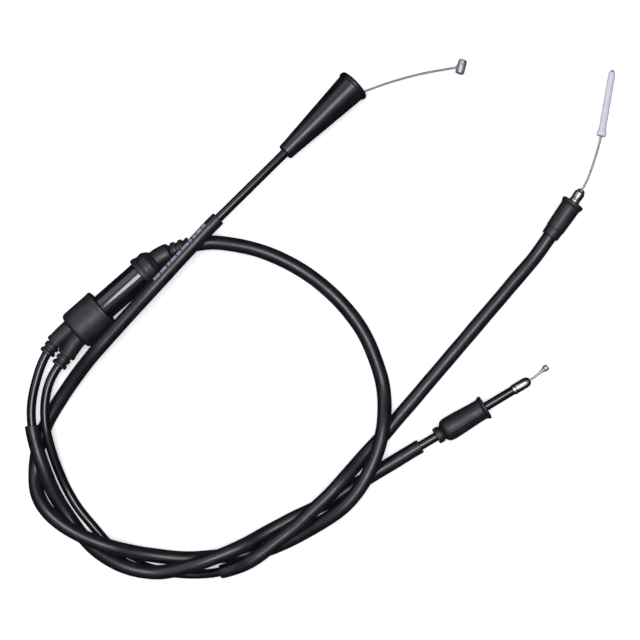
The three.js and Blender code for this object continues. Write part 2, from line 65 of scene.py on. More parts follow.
# Radii, lengths and stations in millimetres, and angles in degrees. Stations in the splitter are counted
# from the shoulder of its cap, and stations of the printed marks from the cable's end at the grip.
JACKET = {"outer": 3.0, "bore": 2.45}
SLEEVE = {"outer": 4.7, "bore": 3.7}
COIL = {"outer": 2.1, "bore": 1.65, "pitch": 3.0}
LINER = {"outer": 1.45, "bore": 1.2}
WIRE = {"radius": 0.75, "strands": 8, "lay": 9.0, "sides": 48, "step": 0.6}
HIDDEN_WIRE = {"radius": 0.75, "strands": 6, "lay": 24.0, "sides": 18, "step": 2.0}
WIRE_BEND = 12             # half the length either side of the grip wire's hinge; the two points this gives are not used
CONDUIT_HOLE = 3.08        # the radius of the two holes in the splitter's cap
CAP = {"length": 24.6, "half_width": 14.0, "half_height": 10.9}
POCKET = {"from": 1.3, "half_width": 11.3, "half_height": 7.9}
SPLITTER_TUBE = {"from": 20.3, "to": 67.2, "outer": 9.0, "bore": 7.4}
GUIDE = {"length": 42.8, "nipple_depth": 4.6}
MARKS = {"from": 79, "to": 127, "dash": (2.2, 6.5), "gap": (0.5, 1.1), "height": 0.03, "depth": 0.1}
MARK_ANGLES = {"middle": 130, "spread": 15}
HIDDEN_REACH = 13          # how far back in its conduit a moving wire end starts, roughly
HIDDEN_NODES = (
    "splitter_end_plug", "splitter_top_plug", "splitter_slider", "slider_grip_nipple", "slider_grip_wire",
    "slider_carb_nipple", "slider_carb_wire", "slider_pump_nipple", "slider_pump_wire",
)

# The camera's place, view and sensor in millimetres. The rest of the stage is in metres and watts.
CAMERA = {"centre": (-1.0, -0.9), "height": 950, "focus_height": 9, "view_width": 422.4, "sensor": 36}
FLOOR = {"size": 6.0, "height": -0.0003, "glow": 0.4}
SKY = {"color": (0.86, 0.86, 1.0, 1), "heights": (0.5, 1.0), "strengths": (0.02, 0.85)}
LIGHTS = {
    "overhead": ((-0.03, 0.0, 1.4), 0.72, 11.5, (1, 1, 1)),
    "upper_left": ((-1.1, 0.9, 1.1), 1.3, 6.0, (0.8, 0.86, 1)),
}


# ---------------------------------------------------------------- reading the frame

def corners(node):
    """A CAD node's mesh with its shared corners merged."""
    mesh = bmesh.new()
    mesh.from_mesh(frame["nodes"][node].data)
    bmesh.ops.remove_doubles(mesh, verts=mesh.verts, dist=1e-6)
    return mesh


def middle(node):
    """The centre of a CAD node's box."""
    low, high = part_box(node)
    return (low + high) / 2


def average(vertices):
    """The mean place of some vertices. It is exactly the same in whatever order they come."""
    places = [tuple(vertex.co) for vertex in vertices]
    return Vector([math.fsum(part) / len(places) for part in zip(*places)])


def centreline(node, near, reach=8 * MM):
    """The centres of a CAD tube's rings, starting at the end nearest to a point."""
    mesh = corners(node)
    mesh.normal_update()
    first = min(mesh.verts, key=lambda vertex: (vertex.co - near).length)

    def flat(face):
        """The corners round the first one that lie in this face's plane."""
        offsets = ((vertex, vertex.co - first.co) for vertex in mesh.verts)
        return {
            vertex for vertex, offset in offsets
            if offset.length < reach and abs(offset.dot(face.normal)) < 5e-6
        }

    layer = max((flat(face) for face in first.link_faces), key=len)
    centres = []
    seen = set()
    while layer:
        centres.append(average(layer))
        seen |= layer
        layer = {edge.other_vert(vertex) for vertex in layer for edge in vertex.link_edges} - seen
    mesh.free()
    return centres


def span(node, axis):
    """The points on a turned CAD node's axis at its two ends, the first one lowest along the axis."""
    mesh = corners(node)
    centre = average(mesh.verts)
    along = [(vertex.co - centre).dot(axis) for vertex in mesh.verts]
    mesh.free()
    return centre + axis * min(along), centre + axis * max(along)


# ---------------------------------------------------------------- centrelines

class Path:
    """A centreline with stations in metres. It carries on straight past both of its ends."""

    def __init__(self, points):
        self.points = np.array([tuple(point) for point in points])
        steps = np.linalg.norm(np.diff(self.points, axis=0), axis=1)
        self.marks = np.concatenate([[0], np.cumsum(steps)])
        self.length = self.marks[-1]
        order = 2 if len(self.points) > 2 else 1
        tangents = np.gradient(self.points, self.marks, axis=0, edge_order=order)
        self.tangents = tangents / np.linalg.norm(tangents, axis=1)[:, None]

    def places(self, stations):
        """The centre, the level side and the upper side at each station."""
        stations = np.asarray(stations, float)
        inside = np.clip(stations, 0, self.length)
        centre = np.stack([np.interp(inside, self.marks, part) for part in self.points.T], axis=1)
        tangent = np.stack([np.interp(inside, self.marks, part) for part in self.tangents.T], axis=1)
        tangent /= np.linalg.norm(tangent, axis=1)[:, None]
        centre += tangent * (stations - inside)[:, None]
        side = np.cross([0, 0, 1], tangent)
        side /= np.linalg.norm(side, axis=1)[:, None]
        return centre, side, np.cross(tangent, side)

    def at(self, station):
        return Vector(self.places([station])[0][0])

    def nearest(self, point):
        """The station closest to a point."""
        return self.marks[np.argmin(np.linalg.norm(self.points - np.array(tuple(point)), axis=1))]


def line(start, direction, length=100 * MM):
    return Path([start, start + direction * length])


def with_stops(points, longest=28 * MM, inset=10 * MM):
    """Adds a station near both ends of each long leg, so that the leg stays straight between them."""
    stops = [points[0]]
    for start, end in zip(points[:-1], points[1:]):
        length = np.linalg.norm(end - start)
        if length > longest:
            step = (end - start) * inset / length
            stops += [start + step, end - step]
        stops.append(end)
    return np.array(stops)


def smooth_path(centres, spacing=1 * MM, passes=30, still=4):
    """A fine smooth path close to the centres, that starts and ends along its first and last legs."""
    points = with_stops(np.array([tuple(centre) for centre in centres]))
    lengths = np.linalg.norm(np.diff(points, axis=0), axis=1)
    marks = np.concatenate([[0], np.cumsum(lengths)])
    slopes = np.gradient(points, marks, axis=0)
    slopes[0] = slopes[1] = (points[1] - points[0]) / lengths[0]
    slopes[-1] = slopes[-2] = (points[-1] - points[-2]) / lengths[-1]
    stations = np.linspace(0, marks[-1], int(marks[-1] / spacing) + 1)
    leg = np.clip(np.searchsorted(marks, stations, side="right") - 1, 0, len(lengths) - 1)
    share = ((stations - marks[leg]) / lengths[leg])[:, None]
    fine = (
        (1 + 2 * share) * (1 - share) ** 2 * points[leg]
        + share * (1 - share) ** 2 * lengths[leg][:, None] * slopes[leg]
        + share ** 2 * (3 - 2 * share) * points[leg + 1]
        + share ** 2 * (share - 1) * lengths[leg][:, None] * slopes[leg + 1]
    )
    for _ in range(passes):
        fine[still:-still] += 0.25 * (
            fine[still - 1:-still - 1] + fine[still + 1:len(fine) - still + 1] - 2 * fine[still:-still]
        )
    return Path(fine)


# ---------------------------------------------------------------- surfaces

def rounded(corner_list, steps=5):
    """A profile in metres from corners of (station, radius, rounding) in millimetres."""
    closed = corner_list[0][:2] == corner_list[-1][:2]
    loop = corner_list[:-1] if closed else corner_list
    profile = []
    for index, (station, radius, rounding) in enumerate(loop):
        corner = np.array([station, radius], float)
        ends = not closed and index in (0, len(loop) - 1)
        if ends or rounding == 0:
            profile.append(corner)
            continue
        before = np.array(loop[index - 1][:2], float) - corner
        after = np.array(loop[(index + 1) % len(loop)][:2], float) - corner
        start = corner + before * min(0.5, rounding / np.linalg.norm(before))
        end = corner + after * min(0.5, rounding / np.linalg.norm(after))
        for share in np.linspace(0, 1, steps):
            profile.append((1 - share) ** 2 * start + 2 * share * (1 - share) * corner + share ** 2 * end)
    if closed:
        profile.append(profile[0])
    return np.array(profile) * MM


def walled(profile, step):
    """The profile with more points along its long walls, so that they can follow a bend."""
    fine = [profile[0]]
    for start, end in zip(profile[:-1], profile[1:]):
        count = max(1, math.ceil(abs(end[0] - start[0]) / step))
        fine += [start + (end - start) * (index + 1) / count for index in range(count)]
    return np.array(fine)


def ring_angles(segments, seams, seam_width=0.07):
    """Angles round a section, with extra ones at each moulding seam."""
    angles = set(np.arange(segments) * 2 * math.pi / segments)
    for seam in seams:
        angles |= {(seam + seam_width * share) % (2 * math.pi) for share in (-1, -0.4, 0, 0.4, 1)}
    return np.array(sorted(angles))


def seam_ridge(angles, seams, height=0.12 * MM, width=0.035):
    ridge = np.zeros(len(angles))
    for seam in seams:
        away = (angles - seam + math.pi) % (2 * math.pi) - math.pi
        ridge += height * np.exp(-(away / width) ** 2)
    return ridge


def skin(name, path, profile, segments=32, step=None, seams=(), relief=None, oval=1.0):
    """A closed surface swept round a path. Its profile closes on itself or starts and ends on the axis."""
    profile = np.asarray(profile, float)
    closed = np.allclose(profile[0], profile[-1])
    if step:
        profile = walled(profile, step)
    if closed:
        profile = profile[:-1]
    stations, radii = profile[:, 0], profile[:, 1]
    angles = ring_angles(segments, seams)
    centre, side, up = path.places(stations)
    outline = radii[:, None] * np.ones(len(angles))
    if seams:
        outline += seam_ridge(angles, seams)[None, :] * (radii[:, None] > 0)
    if relief:
        outline += relief(stations[:, None], angles[None, :], radii[:, None])
    across = outline * np.cos(angles)
    upward = outline * np.sin(angles) * oval
    points = centre[:, None] + side[:, None] * across[:, :, None] + up[:, None] * upward[:, :, None]

    mesh = bmesh.new()
    rings = []
    for index, ring in enumerate(points):
        if radii[index] < 1e-9:
            rings.append([mesh.verts.new(centre[index])])
        else:
            rings.append([mesh.verts.new(point) for point in ring])
    pairs = list(zip(rings[:-1], rings[1:]))
    if closed:
        pairs.append((rings[-1], rings[0]))
    count = len(angles)
    for low, high in pairs:
        for index in range(count):
            following = (index + 1) % count
            if len(low) == 1:
                mesh.faces.new((low[0], high[following], high[index]))
            elif len(high) == 1:
                mesh.faces.new((low[index], low[following], high[0]))
            else:
                mesh.faces.new((low[index], low[following], high[following], high[index]))
    bmesh.ops.recalc_face_normals(mesh, faces=mesh.faces)
    return new_object(name, mesh)


def new_object(name, mesh, sharp=40):
    data = bpy.data.meshes.new(name)
    mesh.to_mesh(data)
    mesh.free()
    data.polygons.foreach_set("use_smooth", [True] * len(data.polygons))
    data.set_sharp_from_angle(angle=math.radians(sharp))
    made = bpy.data.objects.new(name, data)
    bpy.context.scene.collection.objects.link(made)
    return made


def combine(base, others, operation):
    """Joins the other objects to the base, or cuts them from it, and removes them."""
    for other in others:
        modifier = base.modifiers.new("combine", "BOOLEAN")
        modifier.operation = operation
        modifier.solver = "EXACT"
        modifier.object = other
        bpy.context.view_layer.update()
        evaluated = base.evaluated_get(bpy.context.evaluated_depsgraph_get())
        data = bpy.data.meshes.new_from_object(evaluated)
        base.modifiers.clear()
        base.data = data
        bpy.data.objects.remove(other)
    base.data.polygons.foreach_set("use_smooth", [True] * len(base.data.polygons))
    base.data.set_sharp_from_angle(angle=math.radians(30))
    return base


def place(piece, body, slot, *nodes, finish=None):
    """Rides a piece on its body, in place of its CAD nodes, with its slot's material or another finish."""
    piece.data.materials.clear()
    piece.data.materials.append(MATERIALS[finish or slot])
    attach(piece, body)
    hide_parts(*nodes)


# ---------------------------------------------------------------- reliefs

def helical_strands(strands, lay, depth=0.16):
    """Grooves between the strands of a twisted wire."""
    def relief(stations, angles, radii):
        turn = angles - 2 * math.pi * stations / (lay * MM)
        return -radii * depth * (1 - np.abs(np.cos(turn * strands / 2)))
    return relief


def helical_winding(pitch, depth=0.12 * MM):
    """The groove between the turns of a wound flat wire."""
    def relief(stations, angles, radii):
        turn = stations / (pitch * MM) - angles / (2 * math.pi)
        return -depth * (np.cos(turn * 2 * math.pi) > 0.4) * (radii > 0)
    return relief


def soft_unevenness(amount, seed):
    """Long gentle waves in an extruded tube, where it was coiled and handled."""
    waves = np.random.default_rng(seed)
    lengths = waves.uniform(18, 70, 5) * MM
    phases = waves.uniform(0, 2 * math.pi, 5)

    def relief(stations, angles, radii):
        total = 0
        for index, (length, phase) in enumerate(zip(lengths, phases)):
            total = total + np.sin(2 * math.pi * stations / length + phase + angles * (index % 3))
        return amount * MM * total / len(lengths)
    return relief


# ---------------------------------------------------------------- materials

class Finish:
    """A procedural material: a base with mottling, uneven roughness and a fine grain."""

    def __init__(self, name, color, roughness, metallic=0.0, **shader_inputs):
        self.material = bpy.data.materials.new(name)
        self.material.use_nodes = True
        self.nodes = self.material.node_tree.nodes
        self.shader = self.nodes["Principled BSDF"]
        self.shader.inputs["Base Color"].default_value = (*color, 1)
        self.shader.inputs["Roughness"].default_value = roughness
        self.shader.inputs["Metallic"].default_value = metallic
        for key, value in shader_inputs.items():
            self.shader.inputs[key.replace("_", " ")].default_value = value
        self.place = self.nodes.new("ShaderNodeTexCoord").outputs["Object"]
        self.bump = None

    def link(self, source, target):
        self.material.node_tree.links.new(source, target)

    def noise(self, size, detail=4.0):
        """A noise whose features measure about size millimetres."""
        texture = self.nodes.new("ShaderNodeTexNoise")
        texture.inputs["Scale"].default_value = 1 / (size * MM)
        texture.inputs["Detail"].default_value = detail
        self.link(self.place, texture.inputs["Vector"])
        return texture.outputs["Fac"]

    def ranged(self, value, low, high, from_low=0.3, from_high=0.7):
        """Maps a value from one range to another."""
        spread = self.nodes.new("ShaderNodeMapRange")
        spread.inputs["From Min"].default_value = from_low
        spread.inputs["From Max"].default_value = from_high
        spread.inputs["To Min"].default_value = low
        spread.inputs["To Max"].default_value = high
        self.link(value, spread.inputs["Value"])
        return spread.outputs["Result"]

    def mottle(self, size, other_color, amount=1.0, low=0.35, high=0.65):
        """Blends towards another colour in patches."""
        mix = self.nodes.new("ShaderNodeMix")
        mix.data_type = "RGBA"
        socket = self.shader.inputs["Base Color"]
        if socket.is_linked:
            self.link(socket.links[0].from_socket, mix.inputs["A"])
        else:
            mix.inputs["A"].default_value = socket.default_value
        mix.inputs["B"].default_value = (*other_color, 1)
        self.link(self.ranged(self.noise(size), 0, amount, low, high), mix.inputs["Factor"])
        self.link(mix.outputs["Result"], socket)
        return self

    def shade_edges(self, edge_shade_color, blend=0.5, start=0.25, end=0.9):
        """Paints shade: turns towards a darker colour where the surface curves away from the viewer."""
        weight = self.nodes.new("ShaderNodeLayerWeight")
        weight.inputs["Blend"].default_value = blend
        mix = self.nodes.new("ShaderNodeMix")
        mix.data_type = "RGBA"
        socket = self.shader.inputs["Base Color"]
        self.link(socket.links[0].from_socket, mix.inputs["A"])
        mix.inputs["B"].default_value = (*edge_shade_color, 1)
        self.link(self.ranged(weight.outputs["Facing"], 0, 1, start, end), mix.inputs["Factor"])
        self.link(mix.outputs["Result"], socket)
        return self

    def uneven(self, size, low, high):
        """Lets the roughness wander between two values."""
        self.link(self.ranged(self.noise(size), low, high), self.shader.inputs["Roughness"])
        return self

    def grain(self, size, depth, detail=3.0):
        """Adds a fine bump. The depth is in millimetres."""
        bump = self.nodes.new("ShaderNodeBump")
        bump.inputs["Distance"].default_value = depth * MM
        bump.inputs["Strength"].default_value = 1.0
        self.link(self.noise(size, detail), bump.inputs["Height"])
        if self.bump:
            self.link(self.bump, bump.inputs["Normal"])
        self.bump = bump.outputs["Normal"]
        self.link(self.bump, self.shader.inputs["Normal"])
        return self


def specked(finish, size, color, density, amount, softness=0.05):
    """Scatters small dust specks."""
    return finish.mottle(size, color, amount, 1 - density, 1 - density + softness)


FINISHES = {
    "gloss_black_plastic": Finish("gloss_black_plastic", (0.004, 0.004, 0.006), 0.14)
        .uneven(9, 0.11, 0.19).mottle(14, (0.008, 0.008, 0.012)),
    "polished_black_plastic": Finish(
        "polished_black_plastic", (0.004, 0.004, 0.006), 0.11, Specular_IOR_Level=0.7)
        .uneven(16, 0.09, 0.13).mottle(14, (0.008, 0.008, 0.012)),
    "satin_black_plastic": Finish("satin_black_plastic", (0.004, 0.004, 0.006), 0.28)
        .uneven(9, 0.23, 0.34).mottle(14, (0.009, 0.009, 0.013)).grain(3, 0.004),
    "black_sleeve": specked(
        Finish("black_sleeve", (0.005, 0.005, 0.007), 0.34)
        .uneven(7, 0.28, 0.4).mottle(11, (0.011, 0.011, 0.016)).grain(1.2, 0.02),
        1.1, (0.2, 0.2, 0.23), 0.27, 0.55),
    "black_rubber": specked(
        Finish("black_rubber", (0.008, 0.008, 0.01), 0.45)
        .uneven(5, 0.38, 0.52).mottle(8, (0.015, 0.015, 0.019)).grain(0.6, 0.025),
        0.8, (0.12, 0.12, 0.13), 0.26, 0.5),
    "white_nylon": Finish("white_nylon", (0.78, 0.76, 0.7), 0.4, Subsurface_Weight=0.1)
        .uneven(4, 0.34, 0.5).mottle(6, (0.7, 0.68, 0.61)).grain(0.7, 0.02),
    "white_liner": Finish("white_liner", (0.86, 0.86, 0.84), 0.35)
        .uneven(5, 0.3, 0.42).mottle(7, (0.8, 0.8, 0.77)).grain(0.6, 0.01),
    # the clear guide gets painted shade, darker towards its silhouette
    "clear_guide": Finish("clear_guide", (0.8, 0.81, 0.88), 0.2, Transmission_Weight=0.1, IOR=1.4)
        .uneven(5, 0.16, 0.3).mottle(9, (0.7, 0.71, 0.8)).grain(4, 0.01).shade_edges((0.3, 0.31, 0.36)),
    "wire_steel": Finish("wire_steel", (0.42, 0.415, 0.4), 0.42, metallic=0.7)
        .uneven(2.5, 0.36, 0.52).mottle(3, (0.3, 0.295, 0.28)).grain(0.3, 0.01),
    "coil_steel": Finish("coil_steel", (0.3, 0.3, 0.31), 0.42, metallic=0.9)
        .uneven(3, 0.36, 0.55).mottle(4, (0.2, 0.2, 0.21)).grain(0.4, 0.01),
    "zinc_nipple": Finish("zinc_nipple", (0.5, 0.52, 0.54), 0.42, metallic=0.8)
        .uneven(1.6, 0.34, 0.55).mottle(2.2, (0.36, 0.37, 0.39)).grain(0.5, 0.04),
    "chrome": Finish("chrome", (0.62, 0.58, 0.53), 0.16, metallic=1.0)
        .uneven(4, 0.13, 0.2).mottle(5, (0.5, 0.45, 0.4)).grain(4, 0.006),
    "nickel_brass": Finish("nickel_brass", (0.42, 0.39, 0.32), 0.24, metallic=1.0)
        .uneven(2, 0.2, 0.32).mottle(2.5, (0.3, 0.27, 0.2)).grain(2, 0.008),
}
PRINT = (
    Finish("worn_print", (0.4, 0.4, 0.5), 0.5)
    .uneven(2, 0.4, 0.6).mottle(1.4, (0.14, 0.14, 0.18)).grain(0.5, 0.01)
)
MATERIALS = {name: finish.material for name, finish in FINISHES.items()}


# ---------------------------------------------------------------- places

SPLITTER_AXIS = AXIS["throttle_pull"]
BODY_FOOT = span("splitter_body", SPLITTER_AXIS)[0]


def in_splitter(station):
    """A point on the splitter's axis, by its distance in millimetres from the cap's shoulder."""
    return BODY_FOOT + SPLITTER_AXIS * (station - SPLITTER_TUBE["from"]) * MM


def conduit_path(name, ferrule):
    return smooth_path(centreline(f"{name}_jacket", middle(ferrule)))


GRIP_PATH = conduit_path("grip", "grip_ferrule")
CARB_PATH = conduit_path("carb", "splitter_carb_ferrule")
PUMP_PATH = conduit_path("pump", "splitter_pump_ferrule")
SPLITTER_LINE = line(in_splitter(0), SPLITTER_AXIS)


# ---------------------------------------------------------------- conduits and sleeves

def tube_profile(start, end, outer, bore, rounding):
    """The wall of a tube, with rounded rims. Stations and sizes are in millimetres."""
    return rounded([
        (start, bore, 0), (start, outer, rounding), (end, outer, rounding), (end, bore, 0),
        (start, bore, 0),
    ])


def make_conduit(name, path):
    """A cable's jacket, wound coil and liner, and the still part of its wire."""
    end = path.length / MM
    jacket = skin(
        f"{name}_conduit_jacket", path, tube_profile(0, end, JACKET["outer"], JACKET["bore"], 0.3),
        segments=32, step=1.5 * MM, relief=soft_unevenness(0.03, 5),
    )
    place(jacket, "casing", "gloss_black_plastic", f"{name}_jacket")
    coil = skin(
        f"{name}_conduit_coil", path, tube_profile(0.2, end - 0.2, COIL["outer"], COIL["bore"], 0),
        segments=12, step=1 * MM, relief=helical_winding(COIL["pitch"]),
    )
    place(coil, "casing", "coil_steel", f"{name}_coil")
    liner = skin(
        f"{name}_conduit_liner", path, tube_profile(0.1, end - 0.1, LINER["outer"], LINER["bore"], 0),
        segments=12, step=3 * MM,
    )
    place(liner, "casing", "white_liner", f"{name}_liner")
    run = centreline(f"{name}_wire_run", path.at(0), 2 * MM)
    first, last = path.nearest(run[0]) / MM, path.nearest(run[-1]) / MM
    wire = make_wire(f"{name}_inner_wire", path, first, last, HIDDEN_WIRE)
    place(wire, "casing", "wire_steel", f"{name}_wire_run")


def make_wire(name, path, start, end, kind=WIRE):
    """A stranded wire between two stations in millimetres, as one surface with twisted lobes."""
    radius = kind["radius"]
    profile = rounded([(start, 0, 0), (start, radius, 0.1), (end, radius, 0.1), (end, 0, 0)], 3)
    return skin(
        name, path, profile, segments=kind["sides"], step=kind["step"] * MM,
        relief=helical_strands(kind["strands"], kind["lay"]),
    )


def make_sleeve(name, path, fitting_end, relief):
    """An outer sleeve, at the CAD sleeve's place along its conduit."""
    rings = centreline(f"{name}_sleeve", fitting_end, 12 * MM)
    start, end = sorted((path.nearest(rings[0]) / MM, path.nearest(rings[-1]) / MM))
    sleeve = skin(
        f"{name}_outer_sleeve", path, tube_profile(start, end, SLEEVE["outer"], SLEEVE["bore"], 0.35),
        segments=48, step=1.5 * MM, relief=relief,
    )
    place(sleeve, "casing", "black_sleeve", f"{name}_sleeve")


def make_print_marks(path, relief):
    """Plain worn dashes printed along the top of the grip cable's sleeve."""
    mesh = bmesh.new()
    draws = np.random.default_rng(11)
    angles = np.radians(np.linspace(-1, 1, 7) * MARK_ANGLES["spread"] + MARK_ANGLES["middle"])
    station = MARKS["from"]
    while station < MARKS["to"]:
        length = draws.uniform(*MARKS["dash"])
        stations = np.linspace(station, station + length, 7) * MM
        add_patch(mesh, path, stations, angles, relief)
        station += length + draws.uniform(*MARKS["gap"])
    bmesh.ops.recalc_face_normals(mesh, faces=mesh.faces)
    marks = new_object("grip_sleeve_print", mesh)
    marks.data.materials.append(PRINT.material)
    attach(marks, "casing")


def add_patch(mesh, path, stations, angles, relief):
    """A thin raised patch that hugs the sleeve."""
    centre, side, up = path.places(stations)
    rows = np.ones((len(stations), 1))
    surface = SLEEVE["outer"] * MM + relief(stations[:, None], angles[None, :], rows)
    layers = []
    for lift in (MARKS["height"], -MARKS["depth"]):
        radius = (surface + lift * MM)[:, :, None]
        points = (
            centre[:, None]
            + side[:, None] * radius * np.cos(angles)[None, :, None]
            + up[:, None] * radius * np.sin(angles)[None, :, None]
        )
        layers.append([[mesh.verts.new(point) for point in row] for row in points])
    top, bottom = layers
    for layer in layers:
        for row in range(len(stations) - 1):
            for column in range(len(angles) - 1):
                mesh.faces.new((layer[row][column], layer[row][column + 1],
                                layer[row + 1][column + 1], layer[row + 1][column]))
    rim = (
        [(0, column) for column in range(len(angles))]
        + [(row, len(angles) - 1) for row in range(1, len(stations))]
        + [(len(stations) - 1, column) for column in range(len(angles) - 2, -1, -1)]
        + [(row, 0) for row in range(len(stations) - 2, 0, -1)]
    )
    for (row, column), (next_row, next_column) in zip(rim, rim[1:] + rim[:1]):
        mesh.faces.new((top[row][column], top[next_row][next_column],
                        bottom[next_row][next_column], bottom[row][column]))


# ---------------------------------------------------------------- grip end

def make_ferrule(name, node, axis, corners_list, slot="nickel_brass"):
    """A turned ferrule in a CAD ferrule's place, with its profile counted along the axis."""
    start, _ = span(node, axis)
    ferrule = skin(name, line(start, axis), rounded(corners_list), segments=64)
    place(ferrule, "casing", slot, node)


def make_grip_end():
    inward = AXIS["grip_cover_slide"]
    mouth = span("grip_cover", inward)[0]
    cover = skin("grip_end_cover", line(mouth, inward), rounded([
        (0, 9.9, 0.4), (0, 10.8, 0.5), (1.0, 11.35, 0.8), (2.9, 11.3, 0.5), (3.3, 10.5, 0.5),
        (3.9, 10.3, 0.4), (30, 8.15, 6), (58, 5.85, 4), (65, 5.4, 1.1), (65, 3.15, 0.3),
        (58.5, 3.15, 0.4), (56.4, 4.2, 1), (8, 8.3, 5), (0, 9.9, 0),
    ]), segments=96, seams=(0.0, math.pi))
    place(cover, "grip_cover", "gloss_black_plastic", "grip_cover", finish="satin_black_plastic")

    make_ferrule("grip_end_ferrule", "grip_ferrule", inward, [
        (0, 1.3, 0.1), (0, 2.9, 0.5), (1.4, 3.55, 0.6), (8.6, 3.55, 0.3), (9.0, 3.35, 0.2), (9.4, 3.5, 0.2),
        (10.7, 3.5, 0.25), (10.7, 3.05, 0.1), (9.9, 3.05, 0.1), (9.9, 1.3, 0.1), (0, 1.3, 0),
    ])

    tail = centreline("grip_wire_tail", middle("grip_ferrule"), 2 * MM)
    bare = centreline("grip_wire", tail[-1], 2 * MM)
    path = smooth_path(tail + bare, passes=70)
    wire = make_wire("grip_end_wire", path, 0, path.length / MM + 1.6)
    wire.data.materials.append(MATERIALS["wire_steel"])
    kink = path.nearest((tail[-1] + bare[0]) / 2)
    bend = WIRE_BEND * MM
    path.at(kink - bend)
    path.at(kink + bend)
    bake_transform(wire)
    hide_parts("grip_wire_tail", "grip_wire")
    make_barrel_nipple(path)


def make_barrel_nipple(path):
    """The grip wire's barrel nipple, with the wire entering its side through a soldered collar."""
    mount = next(row for row in frame["record"]["mounts"] if row["name"] == "grip_nipple_end")
    axis = Vector(mount["axis"]).normalized()
    start, end = span("grip_nipple", axis)
    length = (end - start).length / MM
    barrel = skin("grip_barrel_nipple", line(start, axis), rounded([
        (0, 0, 0), (0.0, 2.55, 0.35), (0.5, 2.95, 0.4), (length * 0.62, 3.0, 0.3),
        (length * 0.66, 2.85, 0.2), (length - 0.5, 2.8, 0.4), (length, 2.35, 0.35), (length, 0, 0),
    ]), segments=64, seams=(math.radians(200),))
    collar = skin("collar", Path([path.at(path.length), path.at(path.length + 10 * MM)]), rounded([
        (0.2, 0, 0), (0.2, 0.85, 0.2), (0.9, 1.35, 0.5), (2.4, 1.5, 0.2), (2.4, 0, 0),
    ]), segments=24)
    combine(barrel, [collar], "UNION")
    place(barrel, "grip_end", "zinc_nipple", "grip_nipple")


# ---------------------------------------------------------------- splitter

def ribs(starts, width, low, high, edge=0.25):
    """Corners of raised ribs along a neck."""
    made = []
    for start in starts:
        made += [(start, low, 0.2), (start + edge, high, 0.3),
                 (start + width - edge, high, 0.3), (start + width, low, 0.2)]
    return made


def make_splitter_body():
    start, end, outer, bore = (SPLITTER_TUBE[key] for key in ("from", "to", "outer", "bore"))
    body = skin("splitter_tube", SPLITTER_LINE, rounded([
        (start, bore, 0.2), (start, outer, 0.5), (end, outer, 0.5), (end, bore, 0.2), (start, bore, 0),
    ]), segments=96, seams=(math.radians(35), math.radians(215)))
    place(body, "casing", "gloss_black_plastic", "splitter_body", finish="polished_black_plastic")


def make_bottom_boot():
    """The rubber cap with its two bent, ribbed outlets."""
    oval = CAP["half_height"] / CAP["half_width"]
    wide = CAP["half_width"]
    cap = skin("splitter_lower_boot", SPLITTER_LINE, rounded([
        (0, 0, 0), (0, wide - 0.2, 3.0), (CAP["length"] - 3.4, wide - 0.3, 1.5),
        (CAP["length"] - 2.2, wide, 1.0), (CAP["length"], wide - 0.1, 1.8), (CAP["length"], 0, 0),
    ]), segments=96, oval=oval)
    outlets = []
    channels = []
    for path in (CARB_PATH, PUMP_PATH):
        outlets.append(skin("outlet", path, rounded([
            (3, 0, 0), (3, 6.1, 0), (11, 6.1, 0), (23.0, 5.8, 0.4), (23.7, 6.15, 0.3), (25.6, 6.05, 0.4),
            (25.9, 4.1, 0.3), *ribs((27.2,), 2.6, 4.1, 5.0),
            (31.2, 4.1, 0.3), (31.9, 5.15, 0.5), (34, 5.2, 0.6), (34, 0, 0),
        ]), segments=64, step=1 * MM))
        channels.append(skin("channel", path, rounded([
            (-1, 0, 0), (-1, CONDUIT_HOLE, 0), (36, CONDUIT_HOLE, 0), (36, 0, 0),
        ]), segments=48, step=1.5 * MM))
    combine(cap, outlets, "UNION")
    low, high, half_width = POCKET["from"], SPLITTER_TUBE["from"], POCKET["half_width"]
    pocket = skin("pocket", SPLITTER_LINE, rounded([
        (low, 0, 0), (low, half_width, 0), (high, half_width, 0), (high, 0, 0),
    ]), segments=64, oval=POCKET["half_height"] / half_width)
    recess = skin("recess", SPLITTER_LINE, rounded([
        (20.2, 0, 0), (20.2, 9.2, 0), (24.0, 9.2, 0.3), (25.0, 9.9, 0), (25.0, 0, 0),
    ]), segments=96)
    combine(cap, [pocket, recess, *channels], "DIFFERENCE")
    place(cap, "casing", "black_rubber", "splitter_bottom_boot")


def make_top_boot():
    """The rubber collar on the body's upper end, and its neck along the grip cable's conduit.

    Its stations are counted from 50 mm up the splitter. From the neck on, its hole fits the conduit.
    """
    straight = [in_splitter(station) for station in range(50, 73)]
    path = Path(straight + [Vector(point) for point in GRIP_PATH.points[::-1][:90]])
    neck = 23.4
    boot = skin("splitter_upper_boot", path, rounded([
        (7.6, 9.2, 0.2), (7.6, 10.7, 0.6), (8.2, 11.3, 0.9), (10.8, 11.15, 1.0), (12.0, 10.45, 0.9),
        (14.2, 10.3, 0.9), (15.4, 10.65, 0.9), (17.2, 10.5, 1.0), (19.0, 9.1, 0.7),
        (20.2, 8.5, 0.7), (21.0, 7.1, 0.7), (neck + 8.2, 6.5, 1.4), (neck + 9.2, 4.4, 0.6),
        *ribs((neck + 10.4, neck + 15.2), 3.0, 4.3, 5.4),
        (neck + 19.4, 4.3, 0.4), (neck + 20.2, 5.4, 0.5), (neck + 22, 5.5, 0.6), (neck + 22, 3.07, 0.2),
        (neck - 0.2, 3.07, 0), (neck - 0.2, 3.5, 0), (17.5, 3.5, 0), (17.5, 9.2, 0), (7.6, 9.2, 0),
    ]), segments=96, step=1.2 * MM, seams=(0.0, math.pi))
    place(boot, "casing", "black_rubber", "splitter_top_boot")


